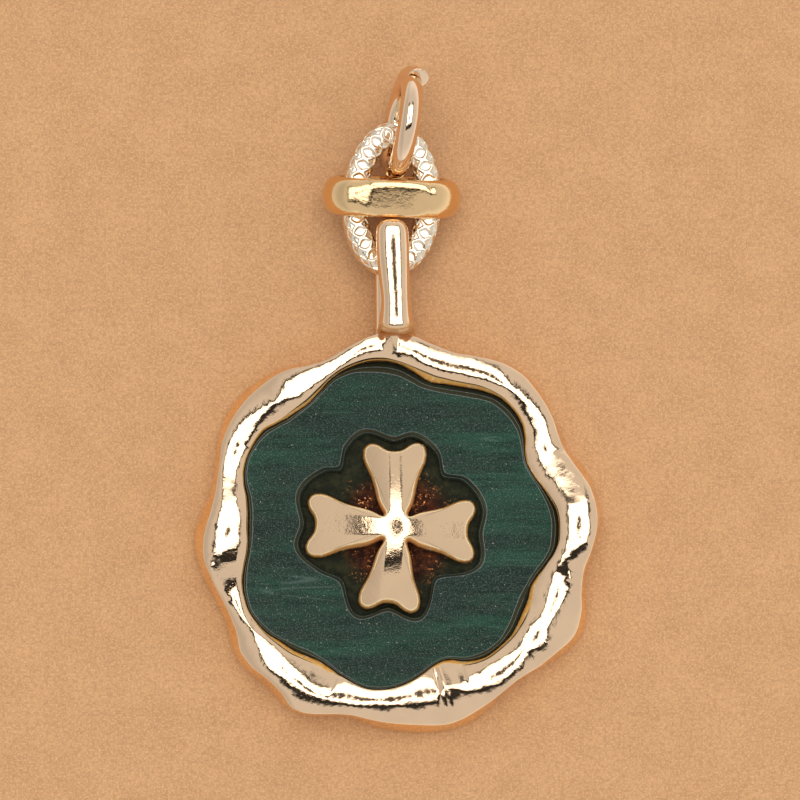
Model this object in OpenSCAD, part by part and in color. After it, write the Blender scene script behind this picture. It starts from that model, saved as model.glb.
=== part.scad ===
// Medallion charm: a wavy domed rim round a green stone with a clover, hung from a link and a split ring.
// It lies face up. X runs to the right, Y runs from the medallion to the split ring, Z is up.
// Sizes are in millimetres.

/* [Medallion] */
// Y of the middle of the medallion
disc_y = -8.82; // [-9:0.02:-8.6]
// Thickness of the back plate under the stone
plate_t = 1.2; // [0.8:0.1:1.6]
// Drop from the rim's crest to its outer shoulder
shoulder_drop = 0.48; // [0.3:0.02:0.6]
// How far the outer wall leans in between the foot and the shoulder
draft = 0.36; // [0.1:0.01:0.5]
// Drop from the rim's crest to its inner lip, where it falls to the stone
lip_drop = 0.4; // [0.2:0.02:0.45]

/* [Stone] */
// Height of the stone's flat face
stone_z = 2.3; // [1.9:0.05:2.5]
// Width of the stone's bevels
bevel_w = 0.32; // [0.2:0.02:0.4]
// Depth of the stone's bevels
bevel_h = 0.26; // [0.1:0.02:0.4]
// How far the wall of the clover-shaped opening leans in below its bevel
opening_lean = 0.16; // [0:0.02:0.2]
// Clearance between the stone and the lip round it
stone_gap = 0.07; // [0.04:0.01:0.2]

/* [Clover] */
// Offset of the clover's middle from the middle of the medallion, along X
clover_dx = -0.1; // [-0.3:0.05:0.3]
// Offset of the clover's middle from the middle of the medallion, along Y
clover_dy = -0.25; // [-0.4:0.05:0.1]
// Height of the clover's edge, at the top of its steep flank
clover_edge_z = 2.35; // [2.2:0.05:2.6]
// Height of the clover's middle
clover_top_z = 3.85; // [3:0.05:3.9]
// Size of the clover's top against its foot
clover_top_scale = 0.88; // [0.85:0.01:0.96]

/* [Link] */
// Length of the oval link over its outside
link_l = 10.85; // [10.6:0.05:10.9]
// Width of the oval link over its outside
link_w = 6.95; // [6.8:0.05:7]
// Width of the link's section, seen from the front
link_band = 1.74; // [1.5:0.02:1.76]
// Thickness of the link's section
link_t = 1.66; // [1.4:0.02:1.7]
// Height of the link's middle
link_z = 2.62; // [2.6:0.01:2.64]
// Roll of the link, which lies lower on its right side, in degrees
link_roll = 6.5; // [0:0.5:7]
// Rise of the link towards the split ring, in degrees
link_pitch = 1.2; // [1:0.1:1.4]
// Depth of the diamond relief
relief = 0.07; // [0:0.01:0.1]

/* [Collar] */
// Width of the collar along the link
collar_w = 2.7; // [2:0.05:2.8]
// Thickness of the collar's wall
collar_t = 1.25; // [0.9:0.05:1.3]
// Tilt of the collar on the link, in degrees
collar_tilt = 10; // [6:0.5:10]

/* [Split ring] */
// Outer diameter of the split ring
ring_d = 7.9; // [7.86:0.02:7.96]
// Diameter of the split ring's wire
wire_d = 1.5; // [1.3:0.05:1.5]
// Lean of the split ring from upright, in degrees
ring_lean = 9; // [5:0.5:12]
// Turn of the split ring about Z, in degrees
ring_turn = 8; // [4:0.5:12]

/* [Hidden] */

PALE_GOLD = "#e3c3a1";
YELLOW_GOLD = "#d8a64e";
WHITE_GOLD = "#e8d9bd";
STONE_GREEN = "#1e463a";

// Points round the medallion, and round each section of the loop and the link
RIM_STEPS = 120;
STONE_STEPS = 144;
LOOP_SIDES = 14;
LINK_STEPS = 72;
LINK_SIDES = 16;

// Rounding of the rim's foot: how far it runs in under the edge, and how high up the wall
foot_in = 0.3;
foot_up = 0.5;

// Middle of the link, which hangs in the bail by its lower end and in the split ring by its upper end
link_place = [-0.44, disc_y + 22.82, link_z];
link_turn = -1.6;
// How much wider the link is at its lower end
link_taper = 0.04;
// Steps along and round the link from one diamond to the next
diamond_steps = 4;
// Room between the collar and the link's section, above it and beside it
collar_room_z = 0.25;
collar_room_x = 0.12;
// Rounding of the collar's inner edges
collar_edge = 0.25;
// Middle of the collar along Y, and middle of the split ring
collar_y = disc_y + 23.02;
ring_place = [0.32, disc_y + 28.05];

// Outer edge of the rim at its foot
// columns: angle, radius
EDGE = [
    [3, 14.28], [16, 13.85], [26, 13.1], [50, 14.06], [74, 13.0], [91, 13.8], [113, 12.87],
    [128, 14.0], [143, 14.44], [168, 13.37], [184, 14.28], [207, 13.7], [221, 14.56],
    [230, 14.46], [240, 14.88], [256, 13.8], [265, 14.12], [287, 14.63], [307, 13.76],
    [330, 14.88], [346, 13.63]
];

// Inner lip of the rim, which the stone follows
// columns: angle, radius
LIP = [
    [0, 11.3], [25, 9.9], [38, 11.1], [50, 11.5], [77, 10.3], [88, 11.4], [100, 11.8],
    [127, 10.65], [148, 11.85], [182, 10.6], [210, 12.1], [240, 10.9], [262, 11.65],
    [288, 9.95], [300, 11.0], [311, 11.3], [338, 10.2]
];

// Height of the rim's crest, which rises and dips along the rim
// columns: angle, height
CREST = [
    [5, 3.42], [25, 2.6], [52, 3.15], [80, 3.2], [91, 3.06], [96.5, 3.33], [103, 3.3],
    [134, 3.0], [159, 2.72], [176, 3.4], [188, 3.42], [202, 2.76], [213, 2.9], [240, 3.3],
    [262, 3.1], [286, 2.95], [304, 3.3], [331, 2.9], [345, 3.02], [357, 3.42]
];

// Place of the crest between the lip and the shoulder
// columns: angle, share of the way out
RIDGE = [
    [0, 0.48], [30, 0.5], [48, 0.4], [67, 0.45], [80, 0.57], [97, 0.46], [113, 0.39],
    [137, 0.35], [157, 0.48], [180, 0.47], [205, 0.4], [214, 0.3], [235, 0.66], [256, 0.58],
    [268, 0.42], [280, 0.45], [300, 0.62], [315, 0.54], [330, 0.47], [352, 0.53]
];

// Edge of the flat face round the clover-shaped opening
// columns: angle, radius
OPENING = [
    [12, 6.3], [34, 5.85], [48, 4.95], [62, 6.0], [80, 6.6], [92, 6.2], [111, 7.15],
    [123, 6.75], [135, 5.85], [143, 6.6], [162, 7.4], [179, 6.8], [192, 7.35], [209, 6.5],
    [224, 5.7], [246, 7.1], [264, 6.05], [282, 6.85], [306, 4.7], [336, 6.5], [355, 5.95]
];

// Half of a petal of unit reach, from its waist to the notch in its end
// columns: distance along the petal, half width
PETAL = [
    [0.15, 0.15], [0.3, 0.21], [0.56, 0.275], [0.78, 0.37], [0.92, 0.37], [0.985, 0.29],
    [0.97, 0.19], [0.9, 0.07]
];

// The four petals, which are drawn a little unevenly
// columns: direction, reach, width
PETALS = [
    [-1.5, 5.6, 5.85], [91, 6.15, 5.9], [177, 6.35, 5.95], [264.5, 5.8, 5.7]
];

// Bail loop, from its root in the rim, round the bend and back to the rim's wall.
// Y is counted from the middle of the medallion.
// columns: outside y and z, inside y and z, x, width
LOOP = [
    [12.6, 2.75, 13.3, 1.75, -0.1, 2.3], [12.95, 3.3, 13.95, 2.2, -0.1, 2.2],
    [13.3, 3.95, 14.5, 2.8, -0.11, 2.1], [13.75, 4.65, 15.0, 3.25, -0.12, 2.04],
    [14.4, 5.12, 15.5, 3.48, -0.13, 2.02], [15.4, 5.24, 16.2, 3.54, -0.15, 2.02],
    [17.0, 5.28, 17.2, 3.55, -0.24, 2.15], [18.8, 5.28, 18.3, 3.55, -0.33, 2.3],
    [20.1, 5.27, 19.05, 3.53, -0.37, 2.32], [20.75, 5.2, 19.4, 3.47, -0.38, 2.3],
    [21.12, 4.92, 19.6, 3.3, -0.4, 2.28], [21.26, 4.4, 19.72, 3.08, -0.41, 2.25],
    [21.36, 3.6, 19.78, 2.85, -0.43, 2.22], [21.46, 2.7, 19.8, 2.6, -0.45, 2.2],
    [21.4, 1.5, 19.75, 2.2, -0.48, 2.15], [21.0, 0.6, 19.55, 1.8, -0.52, 2.1],
    [20.1, 0.16, 19.1, 1.55, -0.55, 2.05], [18.65, 0.1, 18.4, 1.5, -0.62, 2.0],
    [16.55, 0.08, 16.55, 1.48, -0.64, 1.95], [14.55, 0.1, 14.55, 1.5, -0.6, 2.0],
    [12.65, 0.25, 12.65, 1.65, -0.5, 2.3]
];

// Row of a table that closes on itself after a full turn
function turn_row(table, i) =
    let (n = len(table), turns = floor(i / n), row = table[i - turns * n])
    [row[0] + 360 * turns, row[1]];

// Slope at a row: level at each high and low, and the harmonic mean of its neighbours elsewhere
function turn_slope(table, i) =
    let (
        a = turn_row(table, i - 1),
        b = turn_row(table, i),
        c = turn_row(table, i + 1),
        before = (b[1] - a[1]) / (b[0] - a[0]),
        after = (c[1] - b[1]) / (c[0] - b[0])
    )
    before * after <= 0 ? 0 : 2 * before * after / (before + after);

// Number of the last row at or before an angle
function turn_index(table, angle, i = 0) =
    turn_row(table, i + 1)[0] > angle ? i : turn_index(table, angle, i + 1);

// Smooth value of a table at any angle
function around(table, angle) =
    let (
        a = angle < table[0][0] ? angle + 360 : angle,
        i = turn_index(table, a),
        p = turn_row(table, i),
        q = turn_row(table, i + 1),
        h = q[0] - p[0],
        u = (a - p[0]) / h
    )
    p[1] * (1 + 2 * u) * (1 - u) ^ 2 + q[1] * u ^ 2 * (3 - 2 * u)
    + turn_slope(table, i) * h * u * (1 - u) ^ 2
    - turn_slope(table, i + 1) * h * u ^ 2 * (1 - u);

// Smooth point between rows b and c of a table, with a and d as their neighbours
function blend_rows(a, b, c, d, u) =
    b + u / 2 * (c - a + u * (2 * a - 5 * b + 4 * c - d + u * (3 * (b - c) + d - a)));

function polar(r, angle, z) = [r * cos(angle), r * sin(angle), z];

// Raises the size of a value to a power and keeps its sign
function signed_power(v, p) = sign(v) * abs(v) ^ p;

// Solid through a list of rings with equal numbers of points.
// "ends" gives both end rings a flat face, and "closed" joins the last ring to the first.
module skin(rings, closed = false) {
    n = len(rings[0]);
    m = len(rings);
    last = closed ? m - 1 : m - 2;
    sides = [
        for (k = [0:last], i = [0:n - 1])
        let (
            a = k * n + i,
            b = k * n + (i + 1) % n,
            c = (k + 1) % m * n + (i + 1) % n,
            d = (k + 1) % m * n + i
        )
        each [[a, c, d], [a, b, c]]
    ];
    ends = closed ? [] : [
        [for (i = [n - 1:-1:0]) i],
        [for (i = [0:n - 1]) (m - 1) * n + i]
    ];
    polyhedron([for (ring = rings, p = ring) p], concat(sides, ends), convexity = 10);
}

// How far the rim has fallen from its crest, 0 to 1, at a share of the way to its edge
function fall(u) = 0.35 * u ^ 2 + 0.65 * u ^ 5;

// Section of the rim at one angle, from its foot over the crest to the recess floor
// as pairs of radius and height
function rim_section(angle) =
    let (
        edge = around(EDGE, angle),
        lip = around(LIP, angle),
        crest = around(CREST, angle),
        outer = edge - draft,
        shoulder_z = crest - shoulder_drop,
        ridge = lip + (outer - lip) * around(RIDGE, angle)
    )
    [
        [edge - foot_in, 0],
        [edge - foot_in * 0.2, foot_up * 0.28],
        [edge, foot_up],
        [edge - draft * 0.6, foot_up + (shoulder_z - foot_up) * 0.6],
        for (u = [1, 0.93, 0.8, 0.55, 0.25, 0]) [ridge + (outer - ridge) * u, crest - shoulder_drop * fall(u)],
        for (u = [0.25, 0.55, 0.8, 0.93, 1]) [ridge + (lip - ridge) * u, crest - lip_drop * fall(u)],
        [lip, plate_t]
    ];

module medallion() {
    sections = [for (i = [0:RIM_STEPS - 1]) rim_section(-i * 360 / RIM_STEPS + 360)];
    rings = [
        for (k = [0:len(sections[0]) - 1])
        [for (i = [0:RIM_STEPS - 1]) polar(sections[i][k][0], 360 - i * 360 / RIM_STEPS, sections[i][k][1])]
    ];
    skin(rings);
}

// Oval section of the loop between the outside and the inside of one row
function loop_ring(row) = [
    for (i = [0:LOOP_SIDES - 1])
    let (
        a = i * 360 / LOOP_SIDES,
        across = row[4] + row[5] / 2 * cos(a),
        share = (1 + sin(a)) / 2
    )
    [across, row[2] + (row[0] - row[2]) * share, row[3] + (row[1] - row[3]) * share]
];

module bail_loop() {
    n = len(LOOP);
    skin([
        for (i = [0:n - 1], u = i < n - 1 ? [0, 0.5] : [0])
        loop_ring(blend_rows(LOOP[max(i - 1, 0)], LOOP[i], LOOP[min(i + 1, n - 1)], LOOP[min(i + 2, n - 1)], u))
    ]);
}

module frame() {
    color(PALE_GOLD)
        translate([0, disc_y, 0])
            union() {
                medallion();
                bail_loop();
            }
}

module stone() {
    side_z = stone_z - bevel_h;
    angles = [for (i = [0:STONE_STEPS - 1]) i * 360 / STONE_STEPS];
    lip = [for (a = angles) around(LIP, a) - stone_gap];
    hole = [for (a = angles) around(OPENING, a)];
    function ring(radii, inset, z) = [for (i = [0:STONE_STEPS - 1]) polar(radii[i] - inset, angles[i], z)];
    color(STONE_GREEN)
        translate([0, disc_y, 0])
            skin([
                ring(lip, 0, plate_t),
                ring(hole, bevel_w + opening_lean, plate_t),
                ring(hole, bevel_w, side_z),
                ring(hole, 0, stone_z),
                ring(lip, bevel_w, stone_z),
                ring(lip, 0, side_z)
            ], closed = true);
}

// Outline of one petal, up one side to the notch and down the other.
// The next petal gives the corner that the two share.
function petal_outline(petal) =
    let (n = len(PETAL))
    [
        for (i = [0:2 * n - 2])
        let (
            row = i < n ? PETAL[i] : PETAL[2 * n - 1 - i],
            side = i < n ? -1 : 1,
            along = row[0] * petal[1],
            off = side * row[1] * petal[2],
            a = petal[0]
        )
        [along * cos(a) - off * sin(a), along * sin(a) + off * cos(a)]
    ];

module clover() {
    points = [for (petal = PETALS) each petal_outline(petal)];
    n = len(points);
    outline = [
        for (i = [0:n - 1], u = [0, 0.5])
        blend_rows(points[(i + n - 1) % n], points[i], points[(i + 1) % n], points[(i + 2) % n], u)
    ];
    crown = clover_top_z - clover_edge_z;
    function ring(scale, z) = [for (p = outline) [p[0] * scale, p[1] * scale, z]];
    function dome(share) = ring(clover_top_scale * share, clover_edge_z + crown * (1 - share ^ 1.3));
    color(PALE_GOLD)
        translate([clover_dx, disc_y + clover_dy, 0])
            skin([
                dome(0.05),
                dome(0.2),
                dome(0.45),
                dome(0.7),
                dome(0.93),
                ring(clover_top_scale + 0.02, clover_edge_z - 0.12),
                ring(1, plate_t)
            ]);
}

// Section of the link at one place on its oval, with the diamonds raised
function link_ring(i) =
    let (
        t = i * 360 / LINK_STEPS,
        a = (link_w - link_band) / 2 * (1 - link_taper * sin(t)),
        b = (link_l - link_band) / 2,
        out = [b * cos(t), a * sin(t)] / norm([b * cos(t), a * sin(t)])
    )
    [
        for (j = [0:LINK_SIDES - 1])
        let (
            s = j * 360 / LINK_SIDES,
            turn = 180 / diamond_steps,
            diamond = abs(cos(turn * (i + j)) * cos(turn * (i - j))),
            cut = relief * (1 - diamond),
            across = (link_band / 2 - cut) * signed_power(cos(s), 0.8),
            up = (link_t / 2 - cut) * signed_power(sin(s), 0.8)
        )
        [a * cos(t) + across * out[0], b * sin(t) + across * out[1], up]
    ];

module link() {
    color(WHITE_GOLD)
        translate(link_place)
            rotate([link_pitch, link_roll, link_turn])
                skin([for (i = [0:LINK_STEPS - 1]) link_ring(i)], closed = true);
}

// D-shaped section of the collar: flat inside, rounded outside, at a distance from the bend's centre
module collar_section(inner) {
    rise = collar_t * 0.75;
    polygon([
        [inner, -collar_w / 2 + collar_edge],
        [inner + collar_edge * 0.6, -collar_w / 2 + collar_edge * 0.2],
        [inner + collar_t - rise, -collar_w / 2],
        for (a = [-75:15:75]) [inner + collar_t - rise + rise * cos(a), collar_w / 2 * sin(a)],
        [inner + collar_t - rise, collar_w / 2],
        [inner + collar_edge * 0.6, collar_w / 2 - collar_edge * 0.2],
        [inner, collar_w / 2 - collar_edge]
    ]);
}

module collar() {
    inner_h = link_t / 2 + collar_room_z;
    inner_l = link_w / 2 + collar_room_x;
    straight = inner_l - inner_h;
    color(YELLOW_GOLD)
        translate(link_place)
            rotate([link_pitch, link_roll, 0])
                translate([0, collar_y - link_place[1], 0])
                    rotate([-90 + collar_tilt, 0, -1])
                        for (side = [0, 180])
                            rotate(side) {
                                translate([straight, 0, 0])
                                    rotate(-90)
                                        rotate_extrude(angle = 180, $fn = 64)
                                            collar_section(inner_h);
                                translate([straight, 0, 0])
                                    rotate([90, 0, -90])
                                        linear_extrude(height = 2 * straight)
                                            collar_section(inner_h);
                            }
}

module jump_ring() {
    middle_r = (ring_d - wire_d) / 2;
    ring_z = middle_r * cos(ring_lean) + wire_d / 2;
    split = 2.5;
    split_at = 30;
    color(PALE_GOLD)
        translate([ring_place[0], ring_place[1], ring_z])
            rotate([0, 0, -ring_turn])
                rotate([0, ring_lean, 0])
                    rotate([0, 90, 0])
                        rotate([0, 0, 90 + split_at + split / 2])
                            rotate_extrude(angle = 360 - split, $fn = 96)
                                translate([middle_r, 0])
                                    circle(d = wire_d, $fn = 48);
}

frame();
stone();
clover();
link();
collar();
jump_ring();
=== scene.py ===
"""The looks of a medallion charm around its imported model.

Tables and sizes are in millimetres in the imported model's frame: X to the right, Y from the
medallion to the split ring, Z up. Meshes are scaled to metres as they are made.
"""

import math

import bpy
import numpy as np
from mathutils import Matrix, Vector


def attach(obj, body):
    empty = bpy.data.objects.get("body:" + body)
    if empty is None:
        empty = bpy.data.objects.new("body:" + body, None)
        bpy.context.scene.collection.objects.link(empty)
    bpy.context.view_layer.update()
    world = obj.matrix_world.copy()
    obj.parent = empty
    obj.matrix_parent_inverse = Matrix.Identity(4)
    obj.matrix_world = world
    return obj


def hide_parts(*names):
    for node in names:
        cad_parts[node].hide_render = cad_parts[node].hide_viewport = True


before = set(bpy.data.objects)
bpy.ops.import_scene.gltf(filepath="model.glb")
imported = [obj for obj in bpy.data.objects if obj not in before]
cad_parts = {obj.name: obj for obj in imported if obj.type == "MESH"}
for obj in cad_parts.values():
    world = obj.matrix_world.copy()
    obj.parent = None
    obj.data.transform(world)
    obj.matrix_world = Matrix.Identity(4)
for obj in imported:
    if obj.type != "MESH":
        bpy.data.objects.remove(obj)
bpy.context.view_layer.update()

MM = 0.001

# Medallion
DISC_Y = -8.82
PLATE_T = 1.2
RIM_STEPS = 1200
DISC_STEPS = 720

# Outer edge of the rim at its foot: angle, radius
EDGE = {
    3: 14.28, 16: 13.85, 26: 13.1, 50: 14.06, 74: 13.0, 91: 13.8, 113: 12.87, 128: 14.0, 143: 14.44,
    168: 13.37, 184: 14.28, 207: 13.7, 221: 14.56, 230: 14.46, 240: 14.88, 256: 13.8, 265: 14.12,
    287: 14.63, 307: 13.76, 330: 14.88, 346: 13.63,
}
# Upper edge of the rim's outer wall: angle, radius
SHOULDER = {
    2: 13.94, 10: 13.74, 15: 13.37, 20: 13.0, 26: 12.8, 30: 12.93, 35: 13.21, 45: 13.57, 50: 13.71,
    55: 13.6, 60: 13.32, 65: 13.0, 72: 12.67, 80: 12.9, 85: 13.25, 93: 13.48, 97: 13.34, 105: 12.9,
    114: 12.53, 120: 12.81, 125: 13.28, 130: 13.55, 142: 13.78, 150: 13.69, 155: 13.53, 160: 13.18,
    169: 12.91, 175: 13.02, 180: 13.32, 185: 13.6, 190: 13.72, 196: 13.52, 206: 13.27, 212: 13.41,
    215: 13.65, 219: 14.1, 224: 14.22, 230: 14.11, 235: 14.25, 240.5: 14.77, 245: 14.62, 250: 14.18,
    257: 13.69, 265: 13.81, 275: 14.02, 285: 14.36, 295: 14.06, 307: 13.71, 315: 14.0, 320: 14.18,
    328: 14.54, 335: 14.16, 340: 13.65, 346: 13.39, 352: 13.62,
}
# Outer edge of the rim's nearly level top: angle, radius
TOP_OUT = {
    0: 13.34, 5: 13.28, 10: 13.05, 15: 12.72, 20: 12.44, 25: 12.19, 30: 12.25, 35: 12.53, 40: 12.67,
    50: 12.56, 57: 12.9, 65: 12.68, 75: 12.39, 80: 12.53, 85: 12.81, 96: 13.18, 100: 13.0,
    105: 12.65, 113: 12.32, 120: 12.42, 129: 12.53, 132: 12.28, 135: 12.12, 137: 12.28, 140: 12.5,
    145: 12.88, 150: 13.07, 155: 13.0, 160: 12.84, 165: 12.6, 173: 12.33, 180: 12.54, 187: 12.76,
    193: 12.62, 204: 12.7, 210: 12.65, 216: 12.5, 219: 12.72, 223: 13.09, 229: 13.41, 237: 13.35,
    245: 13.3, 250: 13.14, 260: 12.76, 265: 12.63, 270: 12.5, 282: 12.47, 284: 12.2, 286: 12.0,
    289: 12.1, 292: 12.52, 295: 12.7, 300: 12.93, 305: 13.04, 310: 12.93, 315: 12.67, 320: 13.16,
    323: 12.97, 327: 12.6, 337: 12.65, 342: 12.5, 346: 12.05, 350: 12.3, 355: 13.09, 357: 13.28,
}
# Where the rim breaks off to its outer slope: angle, radius
BREAK_OUT = {
    0: 13.43, 5: 13.37, 12: 12.98, 15: 12.78, 20: 12.5, 25: 12.25, 30: 12.35, 35: 12.63, 40: 12.76,
    50: 12.83, 57: 13.12, 60: 13.02, 65: 12.8, 75: 12.52, 85: 12.95, 96: 13.28, 105: 12.75,
    113: 12.42, 118: 12.5, 122: 12.65, 128: 12.78, 131: 12.7, 135: 12.46, 137: 12.53, 140: 12.76,
    143: 12.95, 150: 13.14, 155: 13.06, 160: 12.9, 173: 12.38, 180: 12.64, 185: 12.9, 191: 13.09,
    200: 12.92, 205: 12.84, 214: 12.62, 217: 12.72, 220: 12.9, 225: 13.38, 230: 13.6, 235: 13.76,
    240: 13.83, 245: 13.74, 250: 13.46, 255: 13.2, 260: 13.04, 270: 12.88, 280: 12.89, 286: 12.72,
    290: 12.86, 295: 13.11, 300: 13.28, 304: 13.34, 308: 13.2, 311: 13.25, 315: 13.1, 317: 13.23,
    320: 13.55, 322: 13.32, 326: 12.81, 329: 12.65, 335: 12.76, 343: 12.64, 346.5: 12.22,
    349: 12.55, 351: 12.93, 354: 13.17,
}
# Inner edge of the nearly level top: angle, radius
TOP_IN = {
    2: 11.91, 10: 11.74, 13: 11.56, 15: 11.42, 17: 11.19, 20: 11.05, 25: 10.95, 30: 11.09, 35: 11.6,
    40: 11.98, 43: 12.25, 46: 12.34, 50: 12.25, 55: 12.07, 60: 11.85, 65: 11.58, 70: 11.39,
    75: 11.3, 80: 11.44, 85: 11.85, 88: 12.04, 96: 12.28, 100: 12.23, 105: 12.02, 110: 11.74,
    115: 11.51, 125: 11.35, 128: 11.39, 130: 11.51, 133: 11.84, 137: 12.11, 142: 12.17, 147: 12.07,
    150: 11.98, 160: 11.88, 165: 11.72, 170: 11.46, 175: 11.11, 180: 11.0, 185: 11.09, 189: 11.28,
    202: 12.09, 205: 12.16, 210: 12.41, 215: 12.48, 220: 12.25, 225: 12.08, 228: 12.11, 232: 12.28,
    237: 12.41, 241: 12.6, 246: 12.56, 248.2: 12.5, 249.4: 11.6, 252: 11.6, 260: 11.76, 265: 11.66,
    270: 11.45, 275: 11.08, 280: 10.66, 282.6: 10.5, 283.9: 11.9, 286.3: 11.9, 289: 11.85,
    292: 11.93, 295: 11.76, 300: 11.72, 305: 11.74, 310: 11.88, 315: 12.07, 318: 11.84, 321: 11.63,
    328: 11.78, 335: 11.56, 340: 11.46, 347: 11.6, 352: 11.82,
}
# Where the rim breaks off to its inner slope: angle, radius
BREAK_IN = {
    3: 11.79, 8: 11.7, 10: 11.56, 15: 11.28, 17: 11.02, 20: 10.86, 24: 10.8, 27: 10.93, 30: 11.02,
    35: 11.51, 37: 11.6, 43: 11.88, 47: 12.19, 50: 12.13, 55: 11.91, 60: 11.67, 65: 11.45,
    70: 11.25, 75: 11.14, 80: 11.28, 85: 11.7, 90: 11.97, 96: 12.13, 100: 12.11, 105: 11.93,
    110: 11.67, 115: 11.45, 120: 11.35, 127: 11.26, 130: 11.33, 135: 11.66, 140: 11.77, 147: 11.86,
    155: 11.87, 160: 11.82, 165: 11.63, 170: 11.37, 175: 11.04, 180: 10.93, 186: 11.02, 192: 11.46,
    202: 12.0, 205: 12.09, 214: 12.42, 220: 12.2, 226: 12.02, 232: 12.19, 237: 12.27, 241: 12.2,
    246: 12.28, 248.4: 12.1, 249.6: 11.5, 260: 11.7, 270: 11.4, 275: 11.02, 282.6: 10.42,
    284: 10.95, 286: 11.1, 287: 11.6, 289: 11.68, 292: 11.79, 296: 11.65, 305: 11.68, 310: 11.82,
    315: 11.91, 318: 11.76, 322: 11.58, 328: 11.7, 335: 11.48, 341: 11.37, 347: 11.51, 350: 11.63,
    355: 11.74,
}
# Slope of the crest along the rim: angle, degrees, positive where it rises with the angle
CREST_SLOPE = {
    1: 0, 3: -2.8, 5.5: -3.2, 6.3: -8, 7.2: -13.5, 9: -15, 13: -15.5, 18: -15.8, 23.4: -15.5,
    24.3: -8, 28: 1, 32: 5, 38: 7.5, 45: 7.5, 50: 5.5, 55: 2, 60: 1, 70: 0, 80: 0, 86: -1, 89.9: -2,
    90.3: 19, 92: 18, 93: 16.6, 94: 15.4, 95.3: 14, 96: 8, 97.2: 3, 100: 2.7, 102: 0, 104: -2.6,
    112: -2.8, 118: -3.5, 126: -5, 131: -6.5, 138: -6, 143: -4, 148: -3, 151.3: -2.8, 153: 0,
    154.7: 2.8, 158: 3.2, 160: 4.2, 162.5: 10, 165: 12.6, 168: 12.9, 171: 12.5, 173.5: 10, 175: 6,
    177.5: 4.5, 181.5: 3, 183: 0, 184.5: -2.8, 188.9: -3.6, 189.4: -7.4, 192.6: -11.6, 193.6: -13.5,
    197: -14.5, 198.6: -12, 203: -7.2, 204: -3, 205.5: 0, 211: 1, 214: 5, 218: 6, 222: 5, 228: 3.5,
    234: 3, 238: 1.2, 241: -2, 245: -3, 250: -2.5, 262: -1.5, 265: -3, 268: -1, 272: -1, 274: -3,
    276.5: -2.5, 278: 0, 281: 0.5, 283: -1, 283.9: 12.4, 286.3: 12.4, 287.2: 2, 288.5: 1, 291: 4,
    295: 7.5, 298: 6, 301: 1.5, 304: 0, 311: -0.5, 315: -4, 318: -5.5, 319.5: -3, 321.5: 0,
    323.5: -3.5, 325: -5, 328: -5.5, 331: -3, 334.5: -2.8, 336.5: 0, 338.5: 2.8, 341.4: 4, 342.4: 7,
    344: 9, 348: 10.5, 351: 9.4, 353.5: 7, 355.2: 3.5, 356.8: 2.8, 358.5: 0,
}
CREST_Z = 3.07
# Upper edge of the rough wall that drops from the rim's lip to the stone: angle, radius
LIP_TOP = {
    0: 11.3, 5: 11.2, 10: 10.86, 15: 10.49, 20: 10.15, 25: 10.04, 30: 10.3, 35: 10.91, 40: 11.33,
    45: 11.5, 50: 11.53, 55: 11.42, 60: 11.23, 65: 10.95, 70: 10.77, 75: 10.72, 80: 10.86,
    85: 11.11, 90: 11.42, 95: 11.65, 100: 11.72, 105: 11.65, 110: 11.51, 115: 11.28, 120: 11.0,
    127: 10.78, 135: 10.88, 140: 11.14, 145: 11.54, 150: 11.61, 155: 11.59, 160: 11.46, 165: 11.14,
    170: 10.74, 177: 10.53, 185: 10.54, 190: 10.72, 195: 11.14, 200: 11.6, 205: 11.88, 211: 12.07,
    220: 12.0, 225: 11.86, 230: 11.74, 235: 11.51, 241: 11.33, 249: 11.35, 255: 11.58, 260: 11.72,
    265: 11.63, 270: 11.4, 275: 11.05, 280: 10.63, 285: 10.26, 288: 10.19, 292: 10.44, 295: 10.86,
    300: 11.19, 305: 11.33, 315: 11.3, 320: 11.2, 325: 11.05, 330: 10.77, 336: 10.44, 340: 10.52,
    345: 10.77, 350: 11.14, 355: 11.32,
}
# How far this wall reaches in under its upper edge: angle, distance
LIP_WALL = {
    0: 0.06, 25: 0.08, 35: 0.13, 50: 0.08, 60: 0.23, 70: 0.3, 78: 0.48, 85: 0.22, 90: 0.09,
    110: 0.06, 115: 0.09, 120: 0.19, 127: 0.27, 135: 0.18, 140: 0.1, 180: 0.08, 195: 0.07, 212: 0.1,
    218: 0.14, 225: 0.35, 240: 0.39, 245: 0.3, 250: 0.09, 262: 0.07, 280: 0.14, 288: 0.2, 295: 0.38,
    305: 0.24, 315: 0.25, 325: 0.42, 330: 0.3, 340: 0.15, 345: 0.07,
}
# Heights of the wall's upper edge, on average, and of its foot
LIP_TOP_Z = 2.5
LIP_FOOT_Z = 1.95
# Height of the rim's foot, where the outer wall is widest, and how far the flat back is set in from it
FOOT_Z = 0.42
BACK_IN = 0.45
# Height for which the radii are right when they are measured across the photo
RADII_Z = 3.0
# Height at which stone and clover stand, a hair above the back plate
SEAT_Z = PLATE_T + 0.01

# Stone
STONE_Z = 2.3
# Gap between the stone and the wall round it
STONE_GAP = 0.03
# Width of the narrow arris that is polished along the edges of the bevels
ARRIS = 0.05
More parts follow.
